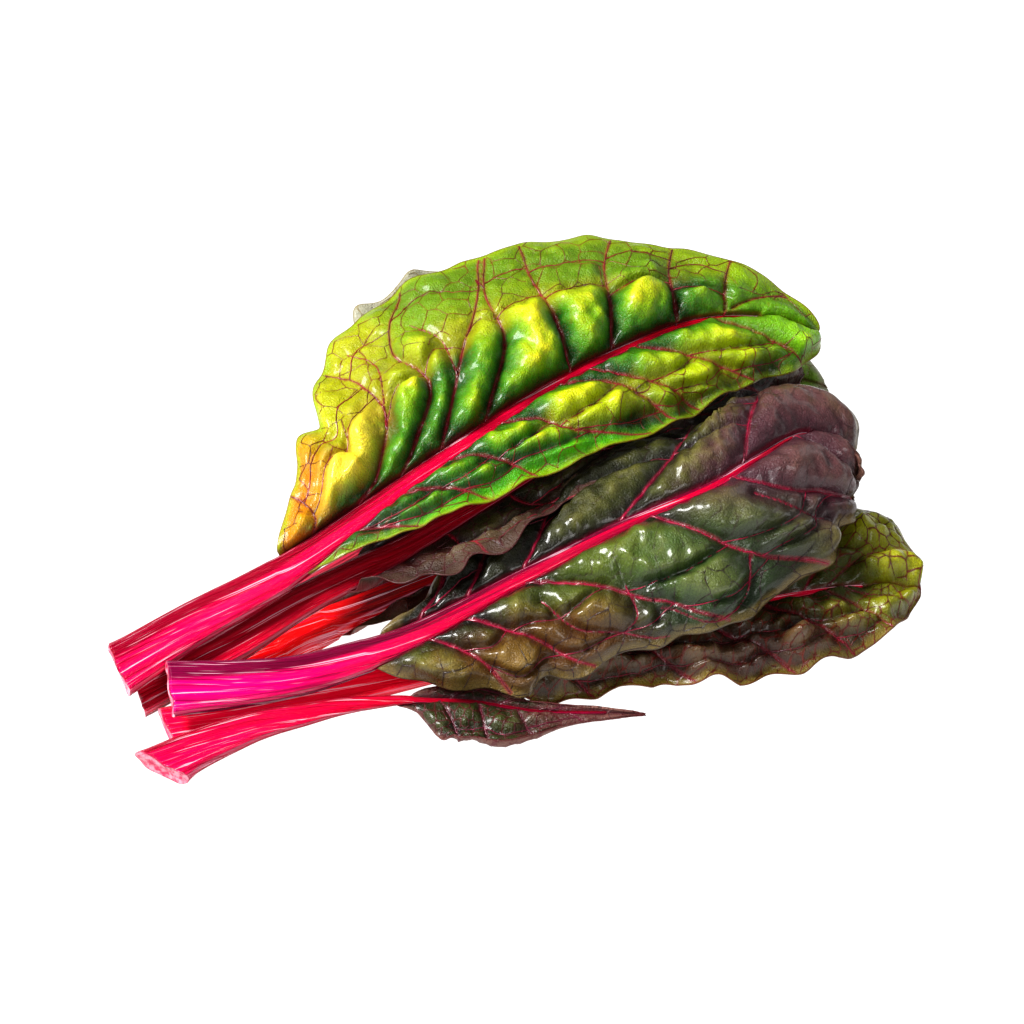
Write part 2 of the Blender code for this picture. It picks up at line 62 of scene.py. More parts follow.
# What each leaf is made from, in millimetres and degrees; a share runs from 0 to 1. Of a pair, the first is
# for the far half of the blade and the second for the near half, where shares across are negative.
#   rib: the line of the stalk and midrib, from the cut end to the tip; base: its share before the blade
#   width, base_width: of the stalk at its cut end, and of the midrib where the blade begins
#   roll: the turn of the stalk's channel; slant: how far the cut end slopes across
#   far, near: the blade's reach to either side, at even steps from its base to its tip
#   arch: how much each half bulges; sweep: the lean of its side veins; rise: its slope, at even steps
#   veins: each side vein, by the hundredths of the rib that it passes at the midrib, at a third, at two
#       thirds and at the whole of the way to the margin
#   puff, lumps: the height of the swellings between the veins, and how uneven they are
#   shoulder: the share across where the swellings end and the flatter margin begins
#   mesh, quilt: the size of the finest net's meshes, and how far they swell
#   ruffle: the height of the margin's waves; cell: the size of the blade's faces
LEAVES = {
    "right_leaf": dict(
        rib=[(-183, 5, 7), (-154, -5, 7), (-121, -14, 7), (-60, -36, 9), (-8, -56, 10), (45, -76, 12),
             (100, -98, 15), (128, -112, 14), (144, -121, 9)],
        base=0.36, width=21, base_width=13, roll=12, slant=1.5, flare=0.0,
        far=[7, 21, 30, 38, 44, 48, 56, 64, 66, 55, 30],
        near=[9, 24, 30, 30, 31, 37, 39, 38, 35, 26, 14],
        arch=(0.10, 0.08), sweep=([-5, 14, 24, 20, 22], [10, 3, 3, 14, 20]),
        rise=([0, -1, 1, 1, 1], [-12, -16, -18, -22, -22]),
        veins=([(50, 54, 57, 58), (62, 66, 68, 69), (73, 77, 79, 80), (84, 87, 88, 88)],
               [(44, 48, 51, 53), (54, 59, 63, 66), (66, 71, 75, 78), (77, 81, 84, 86), (86, 89, 91, 92)]),
        twigs=[[(0.87, 0.0), (0.905, 0.2), (0.94, 0.36)], [(0.885, 0.0), (0.915, -0.2), (0.95, -0.4)]],
        puff=(7, 9), lumps=0.25, fullness=0.5, shoulder=(0.55, 0.78), mesh=6.0, quilt=(0.9, 0.9),
        ruffle=(1.3, 2.4), curls=[(-1, 0.6, 25, 0.2, 0.9)], cell=1.2,
    ),
    "small_leaf": dict(
        rib=[(-199, -19, 11), (-181, -19, 11), (-157, -22, 11), (-135, -28, 11), (-109, -36, 10),
             (-72, -56, 8), (-46, -81, 6), (-20, -100, 5), (-6, -108, 3)],
        base=0.53, width=21, base_width=4, taper=0.2, roll=12, slant=6.0, flare=0.12,
        far=[4, 8, 11, 12, 12, 11, 10, 9, 7, 4, 2],
        near=[9, 24, 30, 31, 30, 24, 14, 8, 5, 3, 1],
        arch=(0.1, 0.1), sweep=([-5, 8, 32, 50, 55], [8, 0, 0, 0, 0]),
        rise=([12, 12, 14, 13, 12], [-14, -12, -12, -10, -10]),
        veins=([(60, 62, 64, 65), (70, 72, 74, 75), (80, 82, 83, 84)],
               [(58, 60, 62, 63), (66, 68, 70, 72), (74, 76, 78, 79), (84, 86, 87, 88)]),
        vein=0.45, puff=(4, 5), lumps=0.15, shoulder=(0.8, 0.8), mesh=5, quilt=(0.5, 0.5),
        ruffle=(1.2, 1.0), curls=[(-1, 0.55, 120, 0.1, 1.1), (1, 0.1, 120, 0.3, 1.2)], cell=0.8,
    ),
    "hidden_leaf": dict(
        rib=[(-147, 21, 8), (-122, 25, 9), (-95, 23, 10), (-31, 16, 13), (39, 15, 15), (110, 13, 15),
             (172, 0, 11), (200, -12, 5)],
        base=0.17, width=34, base_width=24, taper=0.45, roll=-10, slant=1,
        far=[16, 34, 38, 40, 44, 44, 44, 44, 42, 36, 24],
        near=[9, 18, 28, 38, 47, 56, 60, 57, 43, 24, 8],
        arch=(0.08, 0.08), sweep=([15, 32, 39, 43, 41], [0, 0, 0, 8, 28]),
        rise=([0, -4, -18, -21, -14], [0, -6, -6, -5, -5]),
        veins=([(35, 39, 42, 44), (50, 54, 57, 59), (66, 70, 73, 74), (82, 85, 87, 88)],
               [(33, 36, 38, 40), (47, 51, 54, 57), (62, 67, 71, 74), (78, 82, 86, 88)]),
        puff=(5, 5), lumps=0.2, shoulder=(0.8, 0.8), mesh=9, quilt=(0.6, 0.6), ruffle=(1.5, 1.5), cell=2.0,
    ),
    "dark_leaf": dict(
        rib=[(-178, 8, 23), (-142, -9, 21), (-111, -16, 19), (-71, -29, 28), (-22, -37, 40), (26, -47, 54),
             (69, -58, 65), (97, -56, 67), (132, -50, 62), (154, -60, 46)],
        base=0.25, width=25, base_width=16, roll=20, slant=0.6,
        far=[6, 18, 34, 48, 59, 63, 60, 56, 47, 33, 17],
        near=[9, 29, 46, 53, 57, 62, 64, 59, 51, 40, 26],
        arch=(0.12, 0.14), sweep=([8, 16, 22, 48, 48], [1, -3, 8, 12, 20]),
        rise=([0, -2, -3, -2, -6], [-25, -33, -31, -36, -41]),
        veins=([(28, 32, 35.5, 39), (37, 41, 43.5, 45), (46, 50, 53, 56), (60, 66, 68, 69),
                (79, 80, 81, 83)],
               [(30, 34, 37.5, 40), (35, 41, 46, 51), (45, 53, 60, 68), (64, 69, 73.5, 78),
                (76, 79.5, 85, 90)]),
        twigs=[[(0.573, -0.47), (0.573, -0.70), (0.555, -0.82)],
               [(0.475, -0.30), (0.503, -0.62), (0.555, -0.84), (0.60, -0.95)],
               [(0.723, -0.6), (0.713, -0.78), (0.693, -0.9), (0.665, -0.95), (0.638, -0.88), (0.6, -0.72)],
               [(0.765, -0.24), (0.80, -0.62), (0.82, -0.80)], [(0.89, 0.0), (0.90, -0.4), (0.91, -0.7)]],
        vein=1.15, puff=(5.5, 8.5), lumps=0.06, fullness=0.7, shoulder=(0.85, 0.86), mesh=12,
        quilt=(0.7, 1.0), net_from=0.6, ruffle=(1.5, 1.6), scallop=0.02, cell=1.1,
    ),
    "back_leaf": dict(
        rib=[(-147, 36, 8), (-112, 41, 9), (-76, 46, 11), (-41, 49, 14), (18, 50, 24), (75, 47, 37),
             (130, 40, 45), (160, 24, 46), (186, -4, 40)],
        base=0.30, width=16, base_width=11, roll=0, slant=1,
        far=[10, 46, 76, 99, 107, 102, 88, 67, 46, 30, 18],
        near=[8, 14, 20, 24, 29, 34, 37, 35, 32, 24, 16],
        arch=(0.05, 0.06), sweep=([-8, -26, -29, -18, -24], [0, 30, 48, 55, 52]),
        rise=([5, 33, 36, 34, 42], [-10, -14, -20, -22, -20]),
        veins=([(38, 42, 45, 47), (49, 54, 57, 59), (61, 66, 69, 71), (73, 77, 80, 82), (85, 88, 90, 91)],
               [(40, 43, 45, 47), (54, 57, 60, 62), (68, 71, 74, 76), (82, 85, 87, 88)]),
        vein=0.8, puff=(3.5, 3), lumps=0.2, shoulder=(0.7, 0.7), mesh=10, quilt=(0.8, 0.8),
        ruffle=(2, 1.5), scallop=0.02, cell=1.8,
    ),
    "second_leaf": dict(
        rib=[(-184, 27, 9), (-142, 22, 18), (-103, 20, 28), (-57, 12, 40), (-7, 7, 52), (50, 7, 60),
             (112, 10, 60), (150, 12, 56), (178, 6, 50)],
        base=0.33, width=20, base_width=14, roll=15, slant=-2.0,
        far=[16, 38, 46, 50, 54, 54, 50, 44, 36, 25, 14],
        near=[20, 34, 38, 35, 30, 26, 26, 28, 25, 19, 12],
        arch=(0.08, 0.08), sweep=([2, 16, 30, 40, 43], [-26, -20, 10, 35, 45]),
        rise=([4, 0, 4, 6, 8], [-20, -26, -34, -28, -27]),
        veins=([(44, 47, 50, 52), (56, 59, 62, 64), (69, 72, 75, 77), (82, 85, 87, 88)],
               [(42, 44, 46, 47), (51, 53, 56, 58), (62, 65, 68, 70), (73, 76, 79, 81), (84, 86, 88, 89)]),
        puff=(4, 3.5), lumps=0.2, shoulder=(0.7, 0.75), mesh=7, quilt=(0.6, 0.5), ruffle=(1.5, 2.0),
        curls=[(-1, 0.2, 85, -0.1, 1.2)], cell=1.2,
    ),
    "top_leaf": dict(
        rib=[(-190, 31, 22), (-148, 31, 30), (-109, 26, 42), (-66, 24, 57), (-13, 24, 72), (49, 26, 84),
             (114, 22, 90), (152, 10, 86), (175, -6, 76)],
        base=0.22, width=25, base_width=17, roll=18, slant=-3.0, flare=0.06,
        far=[7, 34, 63, 89, 93, 85, 75, 57, 37, 22, 14],
        near=[6, 14, 25, 32, 37, 43, 47, 45, 42, 34, 22],
        arch=(0.10, 0.12), sweep=([-8, -2, 12, 40, 62], [-5, 4, 0, 28, 41]),
        rise=([30, 14, 21, 21, 13], [-13, -10, -18, -29, -31]),
        veins=([(23.5, 28.5, 29, 28.5), (30, 42, 43.5, 42), (38, 49, 48.5, 54), (45, 53, 59, 61.5),
                (52, 59, 60, 62), (65.5, 65.5, 64.7, 65), (71.5, 72, 72, 73), (81, 80, 79, 79),
                (87.5, 86.5, 85.5, 85)],
               [(25, 31, 34.5, 38), (34, 40.5, 44, 46.5), (43, 48.5, 51, 53), (52, 57.5, 60.5, 68),
                (62, 68, 70, 71), (67, 70, 73, 74.5), (73.5, 77, 80, 83), (85, 88.5, 91.5, 93)]),
        twigs=[[(0.525, 0.30), (0.535, 0.53), (0.52, 0.72)], [(0.88, 0.15), (0.915, 0.60), (0.93, 0.85)],
               [(0.42, 0.34), (0.46, 0.62), (0.45, 0.85)]],
        vein=0.8, puff=(11.0, 8.0), lumps=0.07, fullness=0.75, shoulder=(0.5, 0.74), mesh=12.5,
        quilt=(0.25, 0.25), net_from=0.5, ruffle=(0.9, 1.4), scallop=0.008,
        notches=[(1, 0.37, 0.016, 0.17), (1, 0.335, 0.014, -0.08), (1, 0.3, 0.012, 0.07)],
        curls=[(-1, 0.78, 55, 0.1, 0.75)], cell=1.1,
    ),
}

# What a leaf has unless it is given its own above.
#   taper: the power by which the midrib narrows; flare: how much the stalk widens at its cut end
#   vein: the radius of a side vein that leaves the midrib early on
#   twigs: smaller veins, each as points (share along, share across)
#   fullness: how round the swellings are, less being rounder
#   net_from: the share across from which the finest net stands out
#   scallop: how far the outline waves in and out, as a share of the reach
#   notches: bites out of the outline, as (side, share along, width, depth)
#   curls: upturned margins, as (side, share across where it starts, degrees, first and last share of blade)
PLAIN_LEAF = dict(taper=0.6, flare=0.05, vein=0.9, twigs=[], fullness=0.6, net_from=0.1, scallop=0.03,
                  notches=[], curls=[])


def curve_through(points, count):
    """Points spaced evenly along a smooth curve through the given ones."""
    known = np.array(points, float)
    known = np.vstack([2 * known[0] - known[1], known, 2 * known[-1] - known[-2]])
    fine = []
    for a, b, c, d in zip(known, known[1:], known[2:], known[3:]):
        for t in np.linspace(0, 1, 20, endpoint=False):
            fine.append(b + 0.5 * t * (c - a + t * (2 * a - 5 * b + 4 * c - d + t * (3 * b - a - 3 * c + d))))
    fine = np.array(fine + [known[-2]])
    run = np.concatenate([[0], np.cumsum(np.linalg.norm(np.diff(fine, axis=0), axis=1))])
    steps = np.linspace(0, run[-1], count)
    return np.stack([np.interp(steps, run, fine[:, k]) for k in range(fine.shape[1])], axis=1)


def smooth_between(values, at):
    """The values at even steps from 0 to 1, joined by a smooth line and read at these places."""
    line = curve_through([(i, v) for i, v in enumerate(values)], 400)
    return np.interp(at * (len(values) - 1), line[:, 0], line[:, 1])


def ease(x, low=0.0, high=1.0):
    """0 below low, 1 above high and a smooth rise between them."""
    t = np.clip((x - low) / (high - low), 0, 1)
    return t * t * (3 - 2 * t)


def unit(vectors):
    return vectors / np.maximum(np.linalg.norm(vectors, axis=-1, keepdims=True), 1e-9)


def by_half(across, pair):
    """The pair's first value in the columns of the far half, and its second in those of the near half."""
    return np.where(across[None, :] >= 0, pair[0], pair[1])


def steps_of(grid):
    """How the places of a grid change from row to row, and from column to column."""
    return np.gradient(grid, axis=0), np.gradient(grid, axis=1)


def neighbours(grid):
    """What lies one step off to each of the four sides, with the grid's border repeated."""
    edged = np.pad(grid, 1, mode="edge")
    return np.stack([edged[:-2, 1:-1], edged[2:, 1:-1], edged[1:-1, :-2], edged[1:-1, 2:]])


def summed(slopes, at):
    """The sum of each row of slopes, given at even steps from 0 to 1, up to these places."""
    count = slopes.shape[1] - 1
    sums = np.cumsum((slopes[:, 1:] + slopes[:, :-1]) / (2 * count), axis=1)
    sums = np.concatenate([np.zeros((len(slopes), 1)), sums], axis=1)
    return np.array([np.interp(at, np.linspace(0, 1, count + 1), row) for row in sums])


def ripple(places, size, seed):
    """A smooth random field over these places, about 0, with its bumps about this size apart."""
    rng = np.random.default_rng(seed)
    ways = rng.normal(size=(16, places.shape[-1]))
    ways *= (2 * math.pi / size * rng.uniform(0.6, 1.4, 16) / np.linalg.norm(ways, axis=1))[:, None]
    return np.sin(places @ ways.T + rng.uniform(0, 2 * math.pi, 16)).sum(axis=-1) / math.sqrt(8)


class Leaf:
    """A leaf's rib, and its blade as a surface over shares along the rib and across each half."""

    def __init__(self, name, spec):
        self.name, self.seed = name, sum(map(ord, name))
        self.__dict__.update(PLAIN_LEAF | spec)
        self.line = curve_through(self.rib, LINE_STEPS + 1)
        self.line[:, :2] -= MIDDLE
        self.length = np.linalg.norm(np.diff(self.line, axis=0), axis=1).sum()
        self.heading = unit(np.gradient(self.line, axis=0))
        self.settle()

    def on_line(self, along, rows):
        """What these rows, one for each point of the rib's line, say at these shares along it."""
        steps = along * LINE_STEPS
        return np.stack([np.interp(steps, range(LINE_STEPS + 1), column) for column in rows.T], axis=-1)

    def half_width(self, along):
        """Of the stalk and midrib."""
        stalk = np.interp(along, [0, self.base], [self.width, self.base_width])
        past = np.clip((along - self.base) / (RIB_END - self.base), 0, 1)
        return 0.5 * (stalk + (TIP_WIDTH - self.base_width) * past**self.taper)

    def share_of_blade(self, along):
        return np.clip((along - self.base) / (1 - self.base), 0, 1)

    def foot(self, along):
        """The share of its reach that the blade has here, where it rises from the stalk."""
        return ease(along, self.base - FOOT, self.base + 0.03)

    def reach(self, along, side):
        """How far the blade reaches from the rib, on its far (1) or near (-1) side."""
        blade = self.share_of_blade(along)
        rounding = np.sqrt(1 - np.clip((blade - 1 + ROUNDING) / ROUNDING, 0, 1) ** 2)
        scallops = self.scallop * ripple(along[:, None] * self.length, 26, self.seed + side)
        wave = 1 + scallops * ease(blade, 0.02, 0.1)
        for where, at, wide, deep in self.notches:
            if where == side:
                wave -= deep * np.exp(-(((along - at) / wide) ** 2))
        return np.maximum(smooth_between(self.far if side > 0 else self.near, blade) * rounding * wave, 0)

    def angles(self, along, k):
        """The lean of the side veins and the slope of the far (0) or near (1) half, in radians."""
        blade = self.share_of_blade(along)
        return [np.radians(smooth_between(part[k], blade)) for part in (self.sweep, self.rise)]

    def plain_surface(self, along, across):
        """The blade without its swellings, and its flat pattern, both in millimetres."""
        rib = self.on_line(along, self.line)
        ahead = unit(self.on_line(along, self.heading)[:, :2])
        aside = np.stack([-ahead[:, 1], ahead[:, 0]], axis=1)
        surface = np.empty((len(along), len(across), 3))
        flat = np.empty((len(along), len(across), 2))
        for k, side in enumerate((1, -1)):
            cols = np.flatnonzero(across >= 0 if side > 0 else across < 0)
            part = np.abs(across[cols])
            reach = self.reach(along, side) * self.foot(along)
            sweep, rise = self.angles(along, k)
            out = reach[:, None] * part
            steps = np.linspace(0, 1, 41)
            tilt = rise[:, None] + 4 * self.arch[k] * (1 - 2 * steps) + self.curl(along, steps, side)
            level, height = [summed(f(tilt), part) * reach[:, None] for f in (np.cos, np.sin)]
            way = side * np.cos(sweep)[:, None] * aside + np.sin(sweep)[:, None] * ahead
            surface[:, cols, :2] = rib[:, None, :2] + level[:, :, None] * way[:, None]
            surface[:, cols, 2] = rib[:, None, 2] + height
            flat[:, cols, 0] = along[:, None] * self.length + out * np.sin(sweep)[:, None]
            flat[:, cols, 1] = side * out * np.cos(sweep)[:, None]
        return surface, flat

    def curl(self, along, steps, side):
        """How much more the blade turns up towards its margin, in radians."""
        total = np.zeros((len(along), len(steps)))
        for where, start, degrees, first, last in self.curls:
            if where == side:
                blade = self.share_of_blade(along)
                there = ease(blade, first - 0.08, first + 0.08) * (1 - ease(blade, last - 0.08, last + 0.08))
                total += math.radians(degrees) * there[:, None] * ease(steps, start, 1.0)
        return total

    def settle(self):
        """Reads from the CAD solids how far the leaf lies above its own plain surface."""
        blade, stalk = [
            BVHTree.FromPolygons([v.co for v in m.vertices], [p.vertices for p in m.polygons])
            for m in (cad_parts[self.name + part].data for part in ("_blade", "_stalk"))
        ]
        down = Vector((0, 0, -1))
        along, across = np.linspace(self.base + 0.01, 0.985, 40), np.linspace(-0.95, 0.95, 21)
        surface, _ = self.plain_surface(along, across)
        lift = np.full(surface.shape[:2], np.nan)
        for i, j in np.ndindex(*lift.shape):
            x, y, z = surface[i, j]
            hit = blade.ray_cast(Vector((x * MM, y * MM, 1)), down)[0]
            if hit is not None:
                lift[i, j] = hit.z / MM - CAD_THICKNESS / 2 - z
        for _ in range(sum(lift.shape)):  # the holes fill up from their borders
            around = neighbours(lift)
            known = ~np.isnan(around)
            mean = np.where(known, around, 0).sum(axis=0) / np.maximum(known.sum(axis=0), 1)
            lift = np.where(np.isnan(lift) & known.any(axis=0), mean, lift)
        for _ in range(4):
            lift = (sum(neighbours(lift)) + 2 * lift) / 6
        self.blade_lift = (along, across, lift)
        places = np.linspace(0.01, self.base, 12)
        rises = []
        for (x, y, z), half in zip(self.on_line(places, self.line), self.half_width(places)):
            hit = stalk.ray_cast(Vector((x * MM, y * MM, 1)), down)[0]
            top = half * (CHANNEL_FLOOR * math.cos(math.radians(self.roll)) - FLATNESS * SINK)
            rises.append(hit.z / MM - top - z if hit is not None else np.nan)
        rises = np.array(rises)
        good = ~np.isnan(rises)
        self.stalk_lift = (places, np.interp(np.arange(len(places)), np.flatnonzero(good), rises[good]))

    def lift(self, along, across):
        """How far the leaf lies above its plain surface, at rows along it and columns across it."""
        known_along, known_across, lift = self.blade_lift
        rows = np.stack([np.interp(along, known_along, lift[:, j]) for j in range(lift.shape[1])], axis=1)
        blade = np.stack([np.interp(across, known_across, row) for row in rows])
        stalk = np.interp(along, *self.stalk_lift)[:, None]
        return blade + (stalk - blade) * (1 - ease(along, self.base - 0.03, self.base + 0.06))[:, None]

    def centre_line(self, along):
        line = self.on_line(along, self.line)
        line[:, 2] += self.lift(along, np.array([0.0]))[:, 0]
        return line

    def flat_point(self, along, across):
        """Where shares along and across the leaf lie in its flat pattern."""
        along, across = np.asarray(along, float), np.asarray(across, float)
        spots = []
        for u, v in zip(along.ravel(), across.ravel()):
            k, side = (0, 1) if v >= 0 else (1, -1)
            u = np.array([u])
            sweep = self.angles(u, k)[0][0]
            out = abs(v) * self.reach(u, side)[0] * self.foot(u)[0]
            spots.append((u[0] * self.length + out * math.sin(sweep), side * out * math.cos(sweep)))
        return np.array(spots)


def distance_to(lines, flat):
    """How far each place of the flat pattern is from the nearest of these lines."""
    best = np.full(flat.shape[:-1], 1e9)
    for line in lines:
        for a, b in zip(line, line[1:]):
            step = b - a
            t = np.clip(((flat - a) @ step) / max(step @ step, 1e-9), 0, 1)
            best = np.minimum(best, ((flat - a - t[..., None] * step) ** 2).sum(axis=-1))
    return np.sqrt(best)


def vein_lines(leaf):
    """The side veins, their cross links and the twigs, as lines in the flat pattern."""
    rng = np.random.default_rng(leaf.seed)
    sides, links, twigs = [], [], []
    for k, side in enumerate((1, -1)):
        ways = []
        for at in leaf.veins[k]:
            across = np.array([0, 0.33, 0.66, 0.97])  # the last a little short of the margin
            way = curve_through(np.stack([np.array(at) / 100, side * across], axis=1), 26)
            sides.append(leaf.flat_point(way[:, 0], way[:, 1]))
            ways.append(way)
        for first, second in zip(ways, ways[1:]):
            for share in (0.5, 0.78):
                spots = [int((len(way) - 1) * (share + rng.uniform(-0.08, 0.08))) for way in (first, second)]
                a, b = first[spots[0]], second[spots[1]]
                middle = (a + b) / 2 + (0, side * rng.uniform(0.02, 0.09))
                way = curve_through([a, middle, b], 9)
                links.append(leaf.flat_point(way[:, 0], way[:, 1]))
    for way in leaf.twigs:
        way = curve_through(way, 16)
        twigs.append(leaf.flat_point(way[:, 0], way[:, 1]))
    return sides, links, twigs


def warp(places, seed):
    """How far the net's threads wander off at these places, in millimetres."""
    return np.stack([ripple(places, 22, seed), ripple(places, 22, seed + 1)], axis=-1) * 0.9


def net_seeds(leaf):
    """The middles of the net's meshes over the leaf's flat pattern: a loose honeycomb."""
    rng = np.random.default_rng(leaf.seed + 5)
    size = leaf.mesh
    rows = np.arange(leaf.length * (leaf.base - 0.1), leaf.length * 1.15, size)
    columns = np.arange(-1.3 * max(leaf.near), 1.3 * max(leaf.far), size * 0.87)
    spots = [(x + (j % 2) * size / 2, y) for j, y in enumerate(columns) for x in rows]
    return np.array(spots) + rng.uniform(-0.33, 0.33, (len(spots), 2)) * size


def net_lines(seeds, size):
    """The net's threads: the borders between the seeds' neighbourhoods."""
    corners, _, faces, *_ = delaunay_2d_cdt([Vector(s) for s in seeds], [], [], 0, 1e-6)
    centres, border = [], {}
    for n, face in enumerate(faces):
        (ax, ay), (bx, by), (cx, cy) = [corners[i] for i in face]
        d = 2 * (ax * (by - cy) + bx * (cy - ay) + cx * (ay - by))
        a2, b2, c2 = ax * ax + ay * ay, bx * bx + by * by, cx * cx + cy * cy
        centres.append(((a2 * (by - cy) + b2 * (cy - ay) + c2 * (ay - by)) / d,
                        (a2 * (cx - bx) + b2 * (ax - cx) + c2 * (bx - ax)) / d))
        for pair in zip(face, face[1:] + face[:1]):
            border.setdefault(tuple(sorted(pair)), []).append(n)
    lines = []
    for pair in border.values():
        if len(pair) == 2:
            a, b = np.array(centres[pair[0]]), np.array(centres[pair[1]])
            if 0.4 < np.linalg.norm(a - b) < 3 * size:
                lines.append(np.array([a + (b - a) * t for t in np.linspace(0, 1, 7)]))
    return lines


def build_blade(leaf):
    """The crinkled sheet, with the fields that colour it, and the grid that the veins are laid on."""
    along, across = grid_shares(leaf)
    surface, flat = leaf.plain_surface(along, across)
    surface[:, :, 2] += leaf.lift(along, across)

    sides, links, twigs = vein_lines(leaf)
    half = leaf.half_width(along)[:, None]
    to_rib = np.maximum(np.abs(flat[:, :, 1]) - half * (along < RIB_END)[:, None], 0)
    to_vein = [distance_to([line], flat) for line in sides + twigs]
    to_side = np.min(to_vein[: len(sides)], axis=0)
    nearest, second = np.sort([to_rib, *to_vein], axis=0)[:2]
    reach = by_half(across, [leaf.reach(along, side)[:, None] for side in (1, -1)])
    edge = np.abs(across)[None, :] * np.ones((len(along), 1))
    rim = (1 - edge) * reach
    tip_room = (1 - along)[:, None] * leaf.length * 0.8
    rim = np.minimum(rim, np.sqrt(np.maximum(tip_room, 0)) * 4)  # how far it is to the border, tip and all
    calm = ease(rim, 0, 9)  # 0 at the border

    height = swellings(leaf, across, flat, edge, nearest, second)
    height = height * (0.25 + 0.75 * calm) * (1 - 0.7 * np.exp(-((distance_to(links, flat) / 2.3) ** 2)))
    height *= 1 + leaf.lumps * (ripple(flat, 19, leaf.seed + 11) + 0.5 * ripple(flat, 9, leaf.seed + 12))

    seeds = net_seeds(leaf)
    bent = flat - warp(flat - warp(flat, leaf.seed + 20), leaf.seed + 20)
    to_seed = nearest_two(seeds, bent)
    to_net = (to_seed[1] - to_seed[0]) / 2
    off_rib = ease(to_rib, 0, 4)
    quilt = by_half(across, leaf.quilt) * (0.35 + 0.65 * ease(edge, 0.3, 0.7))
    height += (1 - np.exp(-to_net / (0.2 * leaf.mesh))) * quilt * off_rib * (0.3 + 0.7 * calm)
    grain = 0.24 * ripple(flat, 8, leaf.seed + 13) + 0.08 * ripple(flat, 3.6, leaf.seed + 14)
    height += grain * off_rib * calm
    wave, full = by_half(across, leaf.ruffle), ease(reach, 4, 20)
    height += wave * ripple(flat, 38, leaf.seed + 15) * ease(edge, 0.35, 1.0) * full
    height += 0.3 * wave * ripple(flat, 18, leaf.seed + 16) * ease(edge, 0.7, 1.0) * full
    height *= ease(along, leaf.base - 0.05, leaf.base + 0.08)[:, None]
    deep = 0.35 + 0.4 * (1 - ease(along, leaf.base, leaf.base + 0.15))  # tucked in beside the midrib
    height -= half * deep[:, None] * np.exp(-((to_rib / 1.2) ** 2))

    normal = unit(np.cross(*steps_of(surface)))
    normal[-1] = normal[-2]
    normal[0] = normal[1]
    surface += normal * height[:, :, None]
    surface[:, :, 2] = np.maximum(surface[:, :, 2], THICKNESS)

    sheet = add_grid(leaf.name + "_crinkled_blade", surface)
    crest = np.clip(height / (by_half(across, leaf.puff) + 1.2), 0, 1.4)
    to_side = np.minimum(to_side, distance_to(twigs, flat) * 1.6)  # a twig's stain is narrower
    set_fields(sheet, crest=crest, rim=rim, rib=to_rib, side=to_side, net=to_net, along=along[:, None],
               across=across)
    set_pattern(sheet, flat)
    return sheet, dict(flat=flat, surface=surface, seeds=seeds, sides=sides, links=links, twigs=twigs,
                       rim=rim, edge=edge)


def grid_shares(leaf):
    """The rows along the leaf and the columns across it that its blade is built on, closest at the tip."""
    start = leaf.base - FOOT
    body = np.linspace(start, 1 - TIP, max(20, int(leaf.length * (1 - TIP - start) / leaf.cell)))
    turn = np.linspace(0, math.pi / 2, max(14, int(leaf.length * TIP / leaf.cell * 2.2)))
    near, far = [np.linspace(0, 1, max(8, int(max(side) / leaf.cell)) + 1) for side in (leaf.near, leaf.far)]
    return np.concatenate([body, 1 - TIP + TIP * np.sin(turn)[1:]]), np.concatenate([-near[:0:-1], far])


def swellings(leaf, across, flat, edge, nearest, second):
    """How far the blade swells out between its two nearest veins, lower in its flatter margin."""
    share = nearest / (nearest + second + 1e-6)
    swell = np.sin(np.pi * share) ** leaf.fullness
    room = np.clip((nearest + second) / 20, 0.3, 1.15)
    past = edge - by_half(across, leaf.shoulder) - 0.05 * ripple(flat, 34, leaf.seed + 17)
    return by_half(across, leaf.puff) * swell * room * (1 - 0.85 * ease(past, -0.12, 0.2))


def nearest_two(seeds, places):
    """The distances from each place to its nearest seed and to its second nearest."""
    first = np.full(places.shape[:-1], 1e9)
    second = first.copy()
    for seed in seeds:
        d = np.sqrt(((places - seed) ** 2).sum(axis=-1))
        second = np.minimum(second, np.maximum(first, d))
        first = np.minimum(first, d)
    return first, second


def only(obj):
    """Selects this object alone, and makes it the active one."""
    bpy.ops.object.select_all(action="DESELECT")
    obj.select_set(True)
    bpy.context.view_layer.objects.active = obj


def add_grid(name, points):
    """A grid whose corners lie at these points, given in millimetres by rows along X."""
    rows, columns = points.shape[:2]
    bpy.ops.object.select_all(action="DESELECT")
    bpy.ops.mesh.primitive_grid_add(x_subdivisions=rows - 1, y_subdivisions=columns - 1, size=2)
    grid = bpy.context.object
    grid.name = grid.data.name = name
    grid.data.vertices.foreach_set("co", (points.transpose(1, 0, 2) * MM).astype(np.float32).ravel())
    grid.data.update()
    return grid


def set_fields(obj, **fields):
    """Gives the corners of a grid these numbers, for its finish to read."""
    for key, values in zip(fields, np.broadcast_arrays(*fields.values())):
        field = obj.data.attributes.new(key, "FLOAT", "POINT")
        field.data.foreach_set("value", values.T.astype(np.float32).ravel())


def set_pattern(obj, flat):
    """Gives the mesh its own flat pattern as its UV map, one unit for each 10 mm."""
    corner = np.empty(len(obj.data.loops), int)
    obj.data.loops.foreach_get("vertex_index", corner)
    places = flat.transpose(1, 0, 2).reshape(-1, 2)[corner] / 10
    obj.data.uv_layers[0].data.foreach_set("uv", places.astype(np.float32).ravel())
    obj.data.uv_layers[0].name = "pattern"


